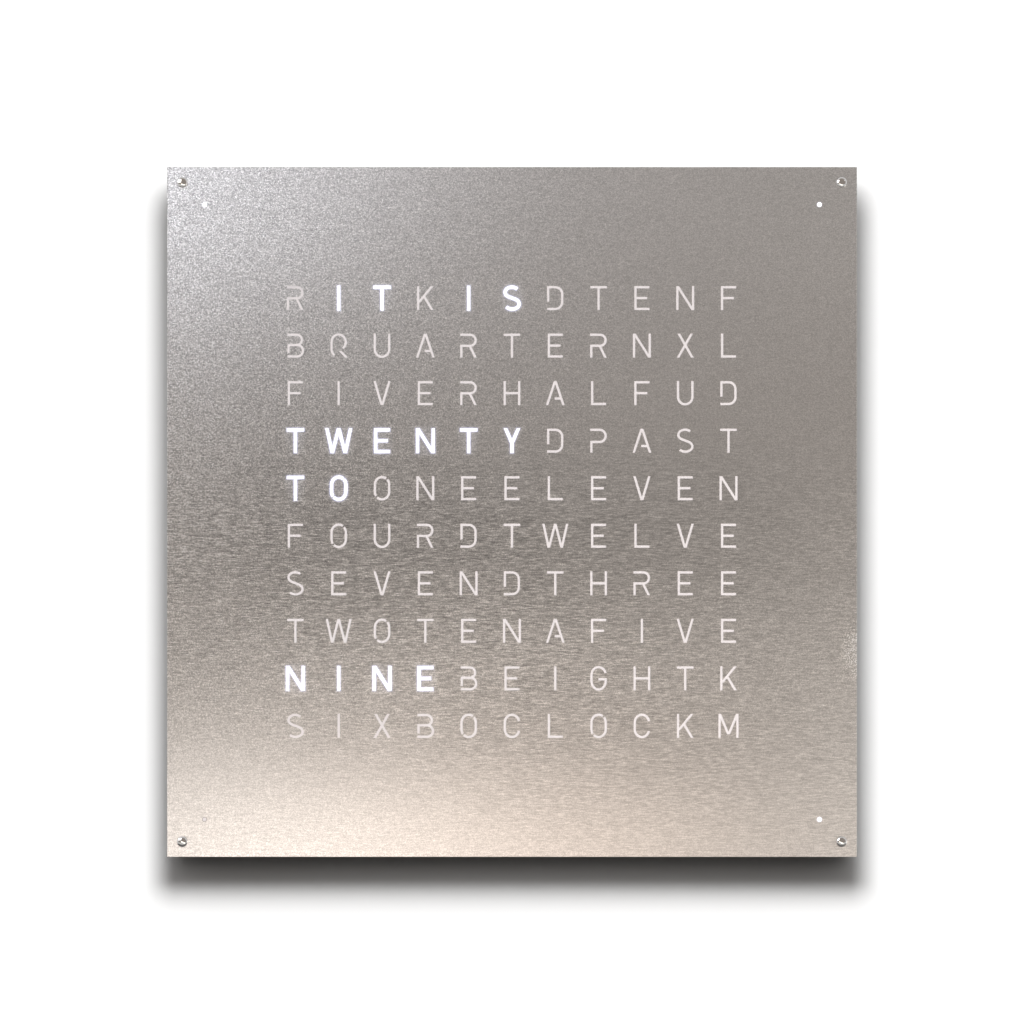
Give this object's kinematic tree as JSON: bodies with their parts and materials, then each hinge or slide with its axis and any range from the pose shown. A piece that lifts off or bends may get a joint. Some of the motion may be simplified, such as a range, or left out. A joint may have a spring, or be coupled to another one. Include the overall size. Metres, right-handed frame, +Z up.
{
  "type": "word clock",
  "caption": "Square wall clock: magnet-held brushed steel cover with lit words over a slim black housing.",
  "frame": {"origin": "centre of the back, on the rear cover's outer face, where the clock meets the wall", "axes": "+Y out of the back towards the wall, the front faces -Y, +Z up and +X to the right seen from the front"},
  "size_m": [0.45, 0.0218, 0.45],
  "materials": {
    "faceplate_steel": "horizontally brushed stainless steel",
    "polished_steel": "polished stainless steel",
    "plated_steel": "zinc or nickel plated steel",
    "opal_plastic": "opal white, satin",
    "housing_plastic": "fine-grained black moulding",
    "grid_plastic": "matte black moulding",
    "bumper_rubber": "dark grey rubber",
    "circuit_board": "green solder resist",
    "light_package": "white light package",
    "chip_plastic": "black moulded package",
    "cell_steel": "plain steel can",
    "socket_plastic": "cream nylon",
    "ribbon_plastic": "pale grey ribbon",
    "button_plastic": "dark grey satin",
    "jack_plastic": "black thermoplastic",
    "contact_metal": "plated brass",
    "terminal_plastic": "green nylon",
    "lead_insulation": "soft insulation"
  },
  "bodies": {
    "housing": {"housing_frame": "housing_plastic", "ring_magnets": "plated_steel", "rear_cover": "housing_plastic", "rear_cover_screws": "plated_steel", "wall_bumpers": "bumper_rubber", "light_grid": "grid_plastic", "grid_screws": "plated_steel", "led_board": "circuit_board", "leds": "light_package", "controller_board": "circuit_board", "controller_screws": "plated_steel", "controller_chips": "chip_plastic", "cell_holder": "chip_plastic", "coin_cell": "cell_steel", "ribbon_sockets": "socket_plastic", "ribbon_cable": "ribbon_plastic", "switch_bodies": "chip_plastic", "jack_pocket": "housing_plastic", "dc_jack": "jack_plastic", "jack_contacts": "contact_metal", "jack_nut": "plated_steel", "jack_terminal": "terminal_plastic", "jack_leads": "lead_insulation", "corner_boards": "circuit_board", "corner_leds": "light_package", "corner_sockets": "socket_plastic", "corner_screws": "plated_steel", "corner_leads": "lead_insulation"},
    "front_cover": {"faceplate": "faceplate_steel", "cover_studs": "polished_steel", "keeper_washers": "plated_steel", "diffuser_sheet": "opal_plastic", "minute_lenses": "opal_plastic"},
    "button_mode": {"button_mode": "button_plastic"},
    "button_hour": {"button_hour": "button_plastic"},
    "button_minute": {"button_minute": "button_plastic"}
  },
  "joints": [
    {"name": "cover_pull", "type": "slide", "parent": "housing", "child": "front_cover", "axis": [0, -1, 0], "range_m": [0, 0.04]},
    {"name": "button_mode_press", "type": "slide", "parent": "housing", "child": "button_mode", "axis": [0, 0, 1], "range_m": [0, 0.0008], "stiffness_N_per_m": 1200, "springref_m": -0.0006},
    {"name": "button_hour_press", "type": "slide", "parent": "housing", "child": "button_hour", "axis": [0, 0, 1], "range_m": [0, 0.0008], "stiffness_N_per_m": 1200, "springref_m": -0.0006},
    {"name": "button_minute_press", "type": "slide", "parent": "housing", "child": "button_minute", "axis": [0, 0, 1], "range_m": [0, 0.0008], "stiffness_N_per_m": 1200, "springref_m": -0.0006}
  ]
}
